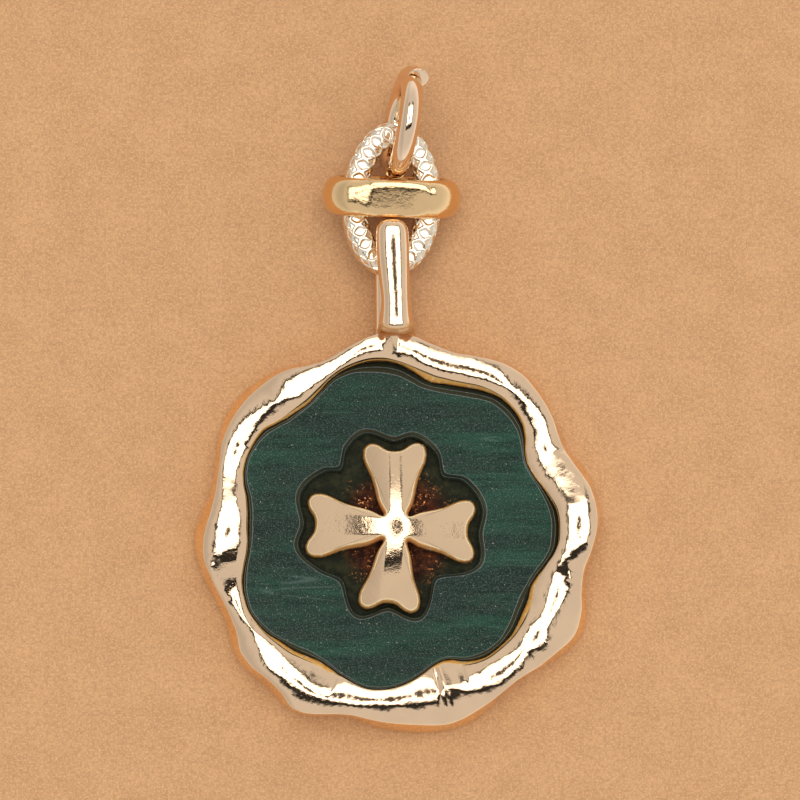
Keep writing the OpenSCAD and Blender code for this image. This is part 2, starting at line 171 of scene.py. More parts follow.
# Edge of the stone's flat face along the rim: angle, radius
STONE_EDGE = {
    0: 10.77, 5: 10.65, 10: 10.42, 15: 10.16, 20: 9.93, 25: 9.85, 30: 10.05, 35: 10.4, 40: 10.7,
    47: 10.82, 52: 10.78, 57: 10.5, 60: 10.28, 65: 10.0, 70: 9.79, 76: 9.7, 80: 9.75, 85: 10.07,
    90: 10.44, 95: 10.67, 100: 10.86, 107: 11.08, 112: 11.05, 116: 10.85, 120: 10.6, 127: 10.35,
    135: 10.42, 140: 10.72, 145: 11.09, 150: 11.28, 155: 11.33, 160: 11.19, 165: 10.81, 170: 10.35,
    177: 10.13, 183: 10.16, 190: 10.45, 195: 10.85, 200: 11.25, 205: 11.6, 211: 11.82, 220: 11.6,
    225: 11.33, 230: 11.05, 237: 10.75, 241: 10.76, 246: 10.98, 252: 11.25, 260: 11.58, 265: 11.48,
    270: 11.22, 275: 10.85, 280: 10.42, 285: 10.0, 288: 9.86, 292: 9.98, 296: 10.35, 300: 10.6,
    307: 10.78, 311: 10.77, 315: 10.6, 320: 10.35, 325: 10.07, 331: 9.9, 337: 9.95, 342: 10.15,
    347: 10.5, 353: 10.77,
}
# Edge of the flat face round the clover-shaped opening: angle, radius
OPENING = {
    12: 6.3, 34: 5.85, 48: 4.95, 62: 6.0, 80: 6.6, 92: 6.2, 111: 7.15, 123: 6.75, 135: 5.85,
    143: 6.6, 162: 7.4, 179: 6.8, 192: 7.35, 209: 6.5, 224: 5.7, 246: 7.1, 264: 6.05, 282: 6.85,
    306: 4.7, 336: 6.5, 355: 5.95,
}

# Clover
CLOVER_AT = (-0.1, DISC_Y - 0.25)
CLOVER_TOP_Z = 3.8
# Half of a petal of unit reach: distance along it, half width
PETAL = [
    (0.15, 0.15), (0.3, 0.21), (0.56, 0.275), (0.78, 0.37), (0.92, 0.37), (0.985, 0.29),
    (0.97, 0.19), (0.9, 0.07),
]
# Petals: direction, reach, width
PETALS = [(-1.5, 5.66, 5.98), (91, 6.21, 6.03), (177, 6.41, 6.08), (264.5, 5.86, 5.83)]

# Bail loop: outside y and z, inside y and z, x, width; y counts from the middle of the medallion
LOOP = [
    (12.7, 2.2, 12.9, 1.5, -0.1, 2.7), (13.28, 2.75, 13.9, 2.1, -0.1, 2.6),
    (13.4, 3.4, 14.3, 2.7, -0.1, 2.5), (13.42, 4.6, 14.7, 3.2, -0.11, 2.4),
    (13.52, 5.08, 15.1, 3.42, -0.12, 2.3), (14.1, 5.2, 15.6, 3.52, -0.13, 2.12),
    (15.4, 5.24, 16.2, 3.54, -0.15, 2.02), (17.0, 5.28, 17.2, 3.55, -0.24, 2.15),
    (18.8, 5.28, 18.3, 3.55, -0.33, 2.3), (20.1, 5.27, 19.05, 3.53, -0.37, 2.32),
    (20.75, 5.2, 19.4, 3.47, -0.38, 2.3), (21.12, 4.92, 19.6, 3.3, -0.4, 2.28),
    (21.26, 4.4, 19.72, 3.08, -0.41, 2.25), (21.36, 3.6, 19.78, 2.85, -0.43, 2.22),
    (21.46, 2.7, 19.8, 2.6, -0.45, 2.2), (21.4, 1.5, 19.75, 2.2, -0.48, 2.15),
    (21.0, 0.6, 19.55, 1.8, -0.52, 2.1), (20.1, 0.16, 19.1, 1.55, -0.55, 2.05),
    (18.65, 0.1, 18.4, 1.5, -0.62, 2.0), (16.55, 0.08, 16.55, 1.48, -0.64, 1.95),
    (14.55, 0.1, 14.55, 1.5, -0.6, 2.0), (12.65, 0.25, 12.65, 1.65, -0.5, 2.3),
]

# Link, collar and split ring
LINK_AT = (-0.44, DISC_Y + 22.82, 2.62)
LINK_L = 10.85
LINK_W = 6.95
LINK_BAND = 1.74
LINK_T = 1.66
LINK_TURN = -1.6
LINK_ROLL = 6.5
LINK_PITCH = 1.2
LINK_TAPER = 0.04
COLLAR_Y = DISC_Y + 23.02
COLLAR_W = 2.7
COLLAR_T = 1.25
COLLAR_TILT = 10
COLLAR_TURN = -1
COLLAR_ROOM = 0.25
RING_AT = (0.32, DISC_Y + 28.05)
RING_D = 7.9
WIRE_D = 1.5
RING_LEAN = 9
RING_TURN = 8

# Camera: 700 mm away, nearly overhead, leaning back from the foot of the charm
CAMERA_DISTANCE = 0.7
CAMERA_ELEVATION = 84.3
CAMERA_AZIMUTH = -2
TARGET = Vector((0.17, 0.18, 0)) * MM
FRAME_WIDTH = 0.056
SENSOR = 36

elevation, azimuth = math.radians(CAMERA_ELEVATION), math.radians(CAMERA_AZIMUTH)
back = Vector((
    math.cos(elevation) * math.sin(azimuth),
    -math.cos(elevation) * math.cos(azimuth),
    math.sin(elevation),
))
right = Vector((0, 1, 0)).cross(back).normalized()
up = back.cross(right)
camera_data = bpy.data.cameras.new("camera")
camera_data.sensor_width = SENSOR
camera_data.lens = SENSOR * CAMERA_DISTANCE / FRAME_WIDTH
camera_data.clip_start = 0.01
camera = bpy.data.objects.new("camera", camera_data)
bpy.context.scene.collection.objects.link(camera)
turn = Matrix((right, up, back)).transposed().to_4x4()
camera.matrix_world = Matrix.Translation(TARGET + back * CAMERA_DISTANCE) @ turn
bpy.context.scene.camera = camera
# The camera's place in millimetres, and how far its view of the medallion's middle leans from upright
CAMERA_AT = np.array(TARGET + back * CAMERA_DISTANCE) / MM
VIEW_LEAN = (DISC_Y - CAMERA_AT[1]) / CAMERA_AT[2]


# Curves and meshes

def unit(degrees):
    """Cosine and sine of one angle."""
    return math.cos(math.radians(degrees)), math.sin(math.radians(degrees))


def full_turn(steps):
    """Angles in radians, evenly all the way round a section."""
    return np.arange(steps) * 2 * np.pi / steps


def squared_circle(angles, power):
    """Points of a unit circle, the squarer the lower the power is."""
    c, s = np.cos(angles), np.sin(angles)
    return np.sign(c) * np.abs(c) ** power, np.sign(s) * np.abs(s) ** power


def smooth_step(value, low, high):
    t = np.clip((value - low) / (high - low), 0, 1)
    return t * t * (3 - 2 * t)


def climb(slope, run):
    """Height reached along a run, from the slope at each of its points."""
    return np.concatenate([[0], np.cumsum((slope[1:] + slope[:-1]) / 2 * np.diff(run))])


def around(table, angles):
    """Smooth value of a table by angle, which closes on itself, at an array of angles."""
    rows = np.array(list(table.items()), float)
    x = np.concatenate([rows[:, 0] + turn for turn in (-360, 0, 360)])
    y = np.tile(rows[:, 1], 3)
    step = np.diff(y) / np.diff(x)
    before, after = step[:-1], step[1:]
    slope = np.zeros(len(x))
    rising = before * after > 0
    slope[1:-1][rising] = (2 * before * after)[rising] / (before + after)[rising]
    a = np.mod(angles, 360)
    i = np.searchsorted(x, a, side="right") - 1
    h = x[i + 1] - x[i]
    u = (a - x[i]) / h
    return (
        y[i] * (1 + 2 * u) * (1 - u) ** 2
        + y[i + 1] * u ** 2 * (3 - 2 * u)
        + slope[i] * h * u * (1 - u) ** 2
        - slope[i + 1] * h * u ** 2 * (1 - u)
    )


def blend_rows(rows, cuts, closed):
    """Rows of numbers with smooth rows between them, cuts steps to each gap."""
    rows = np.asarray(rows, float)
    n = len(rows)
    t = np.arange(n * cuts if closed else (n - 1) * cuts + 1) / cuts
    i = np.minimum(t.astype(int), n - 1 if closed else n - 2)
    u = (t - i)[:, None]

    def row(k):
        return rows[k % n] if closed else rows[np.clip(k, 0, n - 1)]

    a, b, c, d = row(i - 1), row(i), row(i + 1), row(i + 2)
    return b + u / 2 * (c - a + u * (2 * a - 5 * b + 4 * c - d + u * (3 * (b - c) + d - a)))


def rounded(corners, radii, steps=5):
    """Polyline of corner points, each an (..., 2) array, with its corners rounded by curves."""
    line = [corners[0]]
    for k in range(1, len(corners) - 1):
        before, corner, after = corners[k - 1], corners[k], corners[k + 1]
        if radii[k] == 0:
            line.append(corner)
            continue
        to_before, to_after = before - corner, after - corner
        length_b = np.linalg.norm(to_before, axis=-1, keepdims=True)
        length_a = np.linalg.norm(to_after, axis=-1, keepdims=True)
        start = corner + to_before / length_b * np.minimum(radii[k], 0.49 * length_b)
        end = corner + to_after / length_a * np.minimum(radii[k], 0.49 * length_a)
        for t in np.linspace(0, 1, steps):
            line.append((1 - t) ** 2 * start + 2 * t * (1 - t) * corner + t ** 2 * end)
    line.append(corners[-1])
    return line


def skin(rings, closed):
    """Points and faces of a tube through rings of points, closed on itself or with flat ends."""
    rings = np.asarray(rings, float)
    rows, cols = rings.shape[:2]
    i, j = np.meshgrid(np.arange(rows if closed else rows - 1), np.arange(cols), indexing="ij")
    i2, j2 = (i + 1) % rows, (j + 1) % cols
    quads = np.stack([i * cols + j, i * cols + j2, i2 * cols + j2, i2 * cols + j], axis=-1)
    faces = quads.reshape(-1, 4).tolist()
    if not closed:
        faces.append(list(range(cols))[::-1])
        faces.append(list(range((rows - 1) * cols, rows * cols)))
    return rings.reshape(-1, 3), faces


def add_piece(name, rings, closed, material, node):
    """Smooth-shaded tube through rings of points in millimetres, which stands for a CAD node."""
    points, faces = skin(rings, closed)
    mesh = bpy.data.meshes.new(name)
    mesh.from_pydata((points * MM).tolist(), [], faces)
    mesh.validate()
    mesh.shade_smooth()
    mesh.materials.append(material)
    piece = bpy.data.objects.new(name, mesh)
    bpy.context.scene.collection.objects.link(piece)
    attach(piece, "root")
    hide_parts(node)


def placed(rings, place, turns):
    """Rings turned by degrees about X, then Y, then Z, and moved to their place."""
    rings = np.asarray(rings)
    for axis, degrees in zip("XYZ", turns):
        rings = rings @ np.array(Matrix.Rotation(math.radians(degrees), 3, axis)).T
    return rings + np.array(place)


# Materials

def link_value(tree, value, socket):
    """Joins a node's output to a socket, or sets a plain value on it."""
    if isinstance(value, bpy.types.NodeSocket):
        tree.links.new(value, socket)
    else:
        socket.default_value = value


def new_material(name):
    material = bpy.data.materials.new(name)
    material.use_nodes = True
    return material, material.node_tree


def finished(material, values):
    """Material with the values of its shader's sockets set by name."""
    shader = material.node_tree.nodes["Principled BSDF"]
    for name, value in values.items():
        link_value(material.node_tree, value, shader.inputs[name])
    return material


def math_node(tree, operation, *values):
    node = tree.nodes.new("ShaderNodeMath")
    node.operation = operation
    for socket, value in zip(node.inputs, values):
        link_value(tree, value, socket)
    return node.outputs[0]


def product(tree, a, b):
    return math_node(tree, "MULTIPLY", a, b)


def one_minus(tree, value):
    return math_node(tree, "SUBTRACT", 1.0, value)


def distance(tree, x, y, middle):
    """Distance of x and y from a middle."""
    dx, dy = (math_node(tree, "SUBTRACT", v, m) for v, m in zip((x, y), middle))
    squares = math_node(tree, "ADD", product(tree, dx, dx), product(tree, dy, dy))
    return math_node(tree, "SQRT", squares)


def ramp(tree, value, low, high, to_low=0.0, to_high=1.0, smooth=True):
    """Value mapped from low..high to to_low..to_high and held there outside."""
    node = tree.nodes.new("ShaderNodeMapRange")
    node.interpolation_type = "SMOOTHSTEP" if smooth else "LINEAR"
    for socket, v in zip(node.inputs, (value, low, high, to_low, to_high)):
        link_value(tree, v, socket)
    return node.outputs[0]


def mix_colours(tree, share, a, b):
    node = tree.nodes.new("ShaderNodeMix")
    node.data_type = "RGBA"
    link_value(tree, share, node.inputs[0])
    for socket, colour in ((node.inputs[6], a), (node.inputs[7], b)):
        if not isinstance(colour, bpy.types.NodeSocket):
            colour = (*colour, 1)
        link_value(tree, colour, socket)
    return node.outputs[2]


def own_space(tree):
    """Place on a piece, in its own metres."""
    return tree.nodes.new("ShaderNodeTexCoord").outputs["Object"]


def noise(tree, scale, detail=2.0, roughness=0.5, stretch=(1, 1, 1), turn=0.0, offset=(0, 0, 0)):
    """Noise in the piece's own space; scale is the number of features to a metre."""
    mapping = tree.nodes.new("ShaderNodeMapping")
    mapping.inputs["Scale"].default_value = stretch
    mapping.inputs["Rotation"].default_value = (0, 0, math.radians(turn))
    mapping.inputs["Location"].default_value = offset
    tree.links.new(own_space(tree), mapping.inputs[0])
    node = tree.nodes.new("ShaderNodeTexNoise")
    tree.links.new(mapping.outputs[0], node.inputs["Vector"])
    node.inputs["Scale"].default_value = scale
    node.inputs["Detail"].default_value = detail
    node.inputs["Roughness"].default_value = roughness
    return node.outputs[0]


def bump(tree, height, distance, normal=None):
    node = tree.nodes.new("ShaderNodeBump")
    node.inputs["Strength"].default_value = 1
    node.inputs["Distance"].default_value = distance
    tree.links.new(height, node.inputs["Height"])
    if normal is not None:
        tree.links.new(normal, node.inputs["Normal"])
    return node.outputs[0]


def axes(tree, vector):
    """X, Y and Z of a vector."""
    split = tree.nodes.new("ShaderNodeSeparateXYZ")
    tree.links.new(vector, split.inputs[0])
    return split.outputs


def upness(tree):
    """Z of the surface's normal."""
    return axes(tree, tree.nodes.new("ShaderNodeNewGeometry").outputs["Normal"])[2]


def height_above_floor(tree):
    return axes(tree, own_space(tree))[2]


def distance_from(tree, x, y):
    """Distance in metres from a vertical line through x and y in millimetres."""
    place = axes(tree, own_space(tree))
    return distance(tree, place[0], place[1], (x * MM, y * MM))


def height_colours(tree, stops):
    """Colour by height above the floor, from rows of height in millimetres and colour."""
    node = tree.nodes.new("ShaderNodeValToRGB")
    low, high = stops[0][0], stops[-1][0]
    share = ramp(tree, height_above_floor(tree), low * MM, high * MM, smooth=False)
    tree.links.new(share, node.inputs[0])
    elements = node.color_ramp.elements
    for _ in stops[2:]:
        elements.new(0.5)
    for element, (z, colour) in zip(elements, stops):
        element.position = (z - low) / (high - low)
        element.color = (*colour, 1)
    return node.outputs[0]


def cast_walls_with_painted_light(tree, tint, roughness, normal, inside, below, colours, light, outer=None, cast=1.0):
    """Colour, roughness, normal and metallic share of a metal whose steep walls are left as cast.

    Such walls lie lower than below and nearer than inside to the middle of the medallion. They are
    rough and coloured by height, darkening towards the floor as painted shade, with the colour light,
    a painted highlight, where they are less steep, and pale dots as painted glints. Steep walls
    further out take the colour outer, a painted reflection of the card. The lower cast is, the
    smoother the walls left as cast are and the fainter their blotches and painted glints.
    """
    up = upness(tree)
    near = ramp(tree, distance_from(tree, 0, DISC_Y), (inside - 0.05) * MM, inside * MM, 1, 0)
    low = ramp(tree, height_above_floor(tree), below * MM, (below + 0.08) * MM, 1, 0)
    share = product(tree, product(tree, ramp(tree, up, 0.8, 0.88, 1, 0), near), low)
    # Steep outer walls are tinted deeper orange: a painted reflection of the card
    if outer:
        steep = product(tree, ramp(tree, up, 0.5, 0.75, 1, 0), one_minus(tree, near))
        tint = mix_colours(tree, steep, tint, outer)
    # Colours by height darken towards the floor as painted shade; the colour light where walls are
    # less steep is a painted highlight
    warm = mix_colours(tree, ramp(tree, up, 0.5, 0.68), height_colours(tree, colours), light)
    blotch = ramp(tree, noise(tree, 4200, 2), 0.5, 0.75, 0, 0.35 * cast)
    warm = mix_colours(tree, blotch, warm, (0.5, 0.2, 0.05))
    # Pale dots mixed into the colour are painted glints
    glints = ramp(tree, noise(tree, 3300, 2, offset=(9, 2, 5)), 0.58, 0.63, 0, 0.7 * cast)
    warm = mix_colours(tree, glints, warm, (1.0, 0.83, 0.5))
    blend = tree.nodes.new("ShaderNodeMix")
    blend.data_type = "VECTOR"
    rough_cast = bump(tree, noise(tree, 4500, 3, 0.6), 3e-5 * cast)
    for k, value in ((0, share), (4, normal), (5, rough_cast)):
        tree.links.new(value, blend.inputs[k])
    return (
        mix_colours(tree, share, tint, warm),
        math_node(tree, "ADD", roughness, product(tree, share, 0.28)),
        blend.outputs[1],
        ramp(tree, share, 0, 1, 1, 0, smooth=False),
    )


def gold(name, colour, grain=1.0, walls=None):
    """Polished plated metal with a fine orange peel and faint clouding; walls describes cast walls."""
    material, tree = new_material(name)
    darker = tuple(c * 0.95 for c in colour)
    tint = mix_colours(tree, ramp(tree, noise(tree, 350, 3), 0.35, 0.7), colour, darker)
    roughness = ramp(tree, noise(tree, 900, 3, offset=(3, 1, 2)), 0.35, 0.7, 0.04, 0.075)
    peel = bump(tree, noise(tree, 1300, 1), 8e-6)
    normal = bump(tree, noise(tree, 4300, 3, 0.65), 6e-6 * grain, peel)
    metallic = 1
    # Cast walls add painted shade, painted highlights and painted reflections to the colour
    if walls:
        tint, roughness, normal, metallic = cast_walls_with_painted_light(tree, tint, roughness, normal, **walls)
    return finished(material, {
        "Base Color": tint, "Roughness": roughness, "Normal": normal, "Metallic": metallic,
    })


PALE_GOLD = (0.92, 0.655, 0.425)
YELLOW_GOLD = (0.88, 0.6, 0.31)
WHITE_GOLD = (0.92, 0.80, 0.63)
# Cast walls: height and colour in each row of colours, which darken towards the floor as painted
# shade; light is a painted highlight on less steep walls
# On the rim, outer tints the steep outer wall deeper orange, a painted reflection of the card
RIM_WALLS = {
    "inside": 12.42, "below": 2.62, "light": (1.0, 0.48, 0.09), "outer": (1.0, 0.72, 0.4),
    "colours": [
        (1.3, (0.08, 0.03, 0.01)), (1.95, (0.5, 0.17, 0.03)),
        (2.15, (1.0, 0.48, 0.1)), (2.6, (1.0, 0.56, 0.15)),
    ],
}
# On the clover, light is the painted highlight along the top of the flanks, and the low colours are
# painted shade in the recess
CLOVER_WALLS = {
    "inside": 7, "below": 4, "light": (1.0, 0.82, 0.5),
    "colours": [
        (1.25, (0.05, 0.02, 0.008)), (1.6, (0.3, 0.11, 0.025)),
        (1.95, (0.95, 0.45, 0.11)), (2.7, (1.0, 0.55, 0.2)),
    ],
}
# The bail foot's wall colours are a painted reflection of the card, with painted shade in the gap
# behind the rim
BAIL_WALLS = {
    "inside": 13.95, "below": 5.1, "light": (0.75, 0.43, 0.18), "cast": 0.15,
    "colours": [(2.4, (0.5, 0.22, 0.07)), (5, (0.62, 0.3, 0.1))],
}

rim_gold = gold("rim_gold", PALE_GOLD, walls=RIM_WALLS)
clover_gold = gold("clover_gold", (0.91, 0.64, 0.4), grain=1.5, walls=CLOVER_WALLS)
bail_gold = gold("bail_gold", PALE_GOLD, walls=BAIL_WALLS)
link_gold = gold("link_gold", WHITE_GOLD)
collar_gold = gold("collar_gold", YELLOW_GOLD, grain=2.2)
ring_gold = gold("ring_gold", (0.9, 0.66, 0.45), grain=0.7)


def green_stone():
    """Dark green stone: faint bands along X, light specks and hairline scratches; its bevels are
    painted shade.
    """
    material, tree = new_material("green_stone")
    bands = ramp(tree, noise(tree, 420, 4, 0.6, stretch=(0.2, 1, 1), turn=-6), 0.4, 0.68)
    colour = mix_colours(tree, bands, (0.021, 0.038, 0.028), (0.024, 0.078, 0.049))
    streaks = noise(tree, 3200, 3, 0.6, stretch=(0.1, 1, 1), turn=-4)
    colour = mix_colours(tree, ramp(tree, streaks, 0.45, 0.7, 0, 0.6), colour, (0.008, 0.018, 0.013))
    grains = noise(tree, 10500, 2, 0.7)
    colour = mix_colours(tree, ramp(tree, grains, 0.5, 0.72, 0, 0.7), colour, (0.16, 0.21, 0.18))
    dust = noise(tree, 5200, 1, offset=(4, 7, 1))
    colour = mix_colours(tree, ramp(tree, dust, 0.735, 0.77, 0, 0.9), colour, (0.42, 0.39, 0.28))
    for turn, offset in ((35, (1, 4, 0)), (118, (5, 2, 0)), (78, (3, 8, 0))):
        lines = noise(tree, 600, 0, stretch=(0.03, 1, 1), turn=turn, offset=offset)
        near = math_node(tree, "ABSOLUTE", math_node(tree, "SUBTRACT", lines, 0.5))
        scratch = ramp(tree, near, 0.0, 0.004, 0.35, 0)
        broken = ramp(tree, noise(tree, 260, 2, offset=offset), 0.55, 0.62)
        colour = mix_colours(tree, product(tree, scratch, broken), colour, (0.16, 0.22, 0.19))
    # The steep bevels take a plain dark olive and less shine: painted shade where the rim's wall
    # shadows them
    steep = ramp(tree, upness(tree), 0.8, 0.97, 1, 0)
    return finished(material, {
        "Base Color": mix_colours(tree, steep, colour, (0.03, 0.04, 0.027)),
        "Specular IOR Level": ramp(tree, steep, 0, 1, 0.5, 0.32),
        "Roughness": ramp(tree, noise(tree, 2500, 3), 0.3, 0.7, 0.03, 0.07),
        "IOR": 1.6,
        "Normal": bump(tree, noise(tree, 8000, 2), 1.2e-6),
    })


def grit_and_painted_shade():
    """Floor of the recess: dark and rough, with copper-coloured glints near the middle. Its dark olive
    and brown ground is partly residue and partly painted shade on the gold plate.
    """
    material, tree = new_material("recess_grit_and_shade")
    off = distance_from(tree, *CLOVER_AT)
    patches = ramp(tree, noise(tree, 1500, 3), 0.4, 0.65)
    # Dark olive near the stone and brown near the middle: residue and painted shade in the recess
    olive = mix_colours(tree, patches, (0.016, 0.019, 0.009), (0.034, 0.036, 0.015))
    brown = mix_colours(tree, patches, (0.03, 0.008, 0.004), (0.11, 0.032, 0.01))
    ground = mix_colours(tree, ramp(tree, off, 3.0 * MM, 4.6 * MM), brown, olive)
    clusters = ramp(tree, noise(tree, 1100, 2, offset=(7, 1, 3)), 0.42, 0.6)
    glints = ramp(tree, noise(tree, 5200, 3, 0.7, offset=(2, 2, 9)), 0.58, 0.68)
    share = product(tree, glints, ramp(tree, off, 3.2 * MM, 5.2 * MM, 1, 0.04))
    share = product(tree, share, clusters)
    return finished(material, {
        "Base Color": mix_colours(tree, share, ground, (0.9, 0.36, 0.12)),
        "Metallic": share,
        "Roughness": ramp(tree, share, 0, 1, 0.55, 0.25),
        "Specular IOR Level": 0.12,
        "Normal": bump(tree, noise(tree, 3600, 3, 0.7), 8e-5),
    })


# Medallion

# Edges of the softbox and of the dark border round it: X from and to, Y from and to, in degrees
# from the zenith
BOX = (-23, 27, -8, 31)
BORDER = (-28, 32, -18, 38)
# The border's upper edge comes nearer by this much over the middle of the box
BORDER_DIP = 6
# Slopes at the rim's shoulder and at its lip, in degrees
SHOULDER_TILT, LIP_TILT = 34, 24
# Lowest the lip may come to
LIP_Z = 2.06
# Cuts in each of the three stretches of a flank, and the power by which the tilt grows there
FLANK_CUTS = [(6, 1), (5, 1), (8, 1.6)]


def ring_angles(steps):
    return np.arange(steps) * 360 / steps


def seen_at(table, angles, z):
    """Radius at height z of a line whose radii were measured as if it lay at RADII_Z."""
    return around(table, angles) + (RADII_Z - z) * VIEW_LEAN * np.sin(np.radians(angles))


def at(radius, z):
    """Line of a profile round the medallion: radius and height at each angle."""
    return np.stack([radius, np.broadcast_to(z, radius.shape)], axis=-1)


def swung(profile, angles):
    """Rings round the medallion through the lines of a profile."""
    c, s = np.cos(np.radians(angles)), np.sin(np.radians(angles))
    return [np.stack([p[:, 0] * c, p[:, 0] * s + DISC_Y, p[:, 1]], axis=-1) for p in profile]


def tilt_to_edge(base, direction, edges):
    """Tilt towards a direction at which the reflection of the view leaves a box of the sky."""
    tilt = np.full(len(base), 90.0)
    for axis in (0, 1):
        low, high = edges[2 * axis], edges[2 * axis + 1]
        start = np.clip(base[:, axis], low, high)
        way = direction[:, axis]
        room = np.where(way > 0, high - start, start - low)
        tilt = np.minimum(tilt, room / (2 * np.maximum(np.abs(way), 0.02)))
    return tilt


def eased(values, degrees):
    """Values round the rim, smoothed over some degrees."""
    half = int(degrees / 360 * RIM_STEPS)
    weights = np.hanning(2 * half + 1)
    joined = np.concatenate([values[-half:], values, values[:half]])
    return np.convolve(joined, weights / weights.sum(), mode="valid")


def flank(start, stops, tilts):
    """Radii and falls of one side of the rim, which tilts more at each stop."""
    radii, slopes = [start], [np.zeros_like(start)]
    before, before_tilt = start, np.zeros_like(start)
    for stop, tilt, (count, power) in zip(stops, tilts, FLANK_CUTS):
        for share in np.linspace(0, 1, count + 1)[1:]:
            radii.append(before + (stop - before) * share)
            slopes.append(np.tan(np.radians(before_tilt + (tilt - before_tilt) * share ** power)))
        before, before_tilt = stop, tilt
    radii, slopes = np.array(radii), np.array(slopes)
    steps = np.abs(np.diff(radii, axis=0)) * (slopes[1:] + slopes[:-1]) / 2
    return radii, np.concatenate([np.zeros((1, len(start))), np.cumsum(steps, axis=0)])


def medallion_rings():
    """Rings round the rim, from the middle of the back over the crest to the recess floor."""
    angles = ring_angles(RIM_STEPS)
    turn = np.radians(angles)
    radial = np.stack([np.cos(turn), np.sin(turn)], axis=-1)
    tangent = np.stack([-np.sin(turn), np.cos(turn)], axis=-1)
    # Each line along the rim is kept a little clear of the next
    edge = around(EDGE, angles)
    outer = np.minimum(around(SHOULDER, angles), edge - 0.05)
    lip = seen_at(LIP_TOP, angles, LIP_TOP_Z)
    break_out = np.minimum(around(BREAK_OUT, angles), outer - 0.1)
    top_out = np.minimum(around(TOP_OUT, angles), break_out - 0.03)
    top_in = np.maximum(around(TOP_IN, angles), lip + 0.07)
    break_in = np.clip(around(BREAK_IN, angles), lip + 0.04, top_in - 0.02)

    slope = np.interp(angles, list(CREST_SLOPE), list(CREST_SLOPE.values()), period=360)
    middle = (top_out + top_in) / 2
    rise = np.cumsum(np.tan(np.radians(slope)) * middle * 2 * np.pi / RIM_STEPS)
    crest = rise - rise[-1] * angles / 360
    crest += CREST_Z - crest.mean()

    place = radial * middle[:, None] + (0, DISC_Y)
    base = np.degrees((place - CAMERA_AT[:2]) / CAMERA_AT[2]) - 2 * slope[:, None] * tangent
    soft = eased(middle, 4)
    wander = (np.roll(soft, -1) - np.roll(soft, 1)) * RIM_STEPS / (4 * np.pi) / middle
    out = radial - wander[:, None] * tangent
    out /= np.linalg.norm(out, axis=1, keepdims=True)
    box_out, box_in = tilt_to_edge(base, out, BOX), tilt_to_edge(base, -out, BOX)
    border_out, border_in = tilt_to_edge(base, out, BORDER), tilt_to_edge(base, -out, BORDER)
    ridge = top_in + (top_out - top_in) * eased((box_in + 1) / (box_in + box_out + 2), 3)

    out_tilts = [box_out, border_out, np.maximum(SHOULDER_TILT, border_out)]
    in_tilts = [box_in, border_in, np.maximum(LIP_TILT, border_in)]
    out_r, out_fall = flank(ridge, [top_out, break_out, outer], out_tilts)
    in_r, in_fall = flank(ridge, [top_in, break_in, lip], in_tilts)
    in_fall *= np.minimum(1, (crest - LIP_Z) / in_fall[-1])

    def dome(radii, falls):
        """Lines of one side, whose last height is evened out along the rim."""
        last = crest - falls[-1]
        lift = eased(last, 5) - last
        share = (radii - radii[0]) / (radii[-1] - radii[0])
        return [at(r, crest - fall + lift * s ** 2) for r, fall, s in zip(radii, falls, share)]

    outer_dome, inner_dome = dome(out_r, out_fall), dome(in_r, in_fall)
    shoulder_z, lip_z = outer_dome[-1][:, 1], inner_dome[-1][:, 1]
    wall = rounded(
        [
            at(edge - BACK_IN, 0),
            at(edge - 0.14, 0),
            at(edge, FOOT_Z),
            at(outer + (edge - outer) * 0.55, FOOT_Z + (shoulder_z - FOOT_Z) * 0.5),
            at(outer, shoulder_z),
            outer_dome[-2],
        ],
        [0, 0.16, 0.3, 0.6, 0.09, 0],
    )
    foot = lip - around(LIP_WALL, angles)
    inside = rounded(
        [
            inner_dome[-2],
            at(lip, lip_z),
            at(foot, LIP_FOOT_Z),
            at(foot + 0.04, PLATE_T),
            at(foot - 0.4, PLATE_T),
        ],
        [0, 0.05, 0.1, 0.1, 0],
        steps=4,
    )
    under = [at(edge * f - BACK_IN * f, 0) for f in (0.02, 0.5, 0.9)]
    return swung(under + wall + outer_dome[-3::-1] + inner_dome[1:-2] + inside, angles)


def sine_noise(x, y, seed):
    """Smooth noise from a few sines, for uneven metal."""
    value = 0
    for k in range(1, 5):
        a = seed * 1.7 + k * 2.1
        value = value + np.sin(x * k * 2.3 * math.cos(a) + y * k * 2.3 * math.sin(a) + seed * k) / k
    return value / 2


def uneven(ring):
    """Ring with faint waves where it runs over the upper part of the rim."""
    high = np.clip((ring[:, 2] - 2.2) / 0.6, 0, 1)
    wave = 0.006 * high * sine_noise(ring[:, 0] * 1.8, ring[:, 1] * 1.8, 2)
    return ring + wave[:, None] * (0, 0, 1)


rim_rings = [uneven(ring) for ring in medallion_rings()]
add_piece("medallion_rim", rim_rings, False, rim_gold, "frame")


# Recess floor, seen between the petals

FLOOR_R = 7.4
FLOOR_RINGS = 50


def floor_rings():
    turn = np.radians(ring_angles(DISC_STEPS))
    rings = []
    for r in np.linspace(0.05, FLOOR_R, FLOOR_RINGS):
        x, y = r * np.cos(turn), r * np.sin(turn) + DISC_Y
        fade = min(1, (FLOOR_R - r) / 0.6)
        waves = 0.06 + 0.06 * sine_noise(x * 4, y * 4, 5) + 0.03 * sine_noise(x * 11, y * 11, 7)
        rings.append(np.stack([x, y, PLATE_T + 0.02 + fade * waves], axis=-1))
    rings.append(np.stack([x, y, np.full(DISC_STEPS, PLATE_T - 0.05)], axis=-1))
    return rings


add_piece("recess_floor", floor_rings(), False, grit_and_painted_shade(), "frame")


# Bail loop

LOOP_CUTS = 10
LOOP_SIDES = 56
# Squareness of its section
LOOP_POWER = 0.8


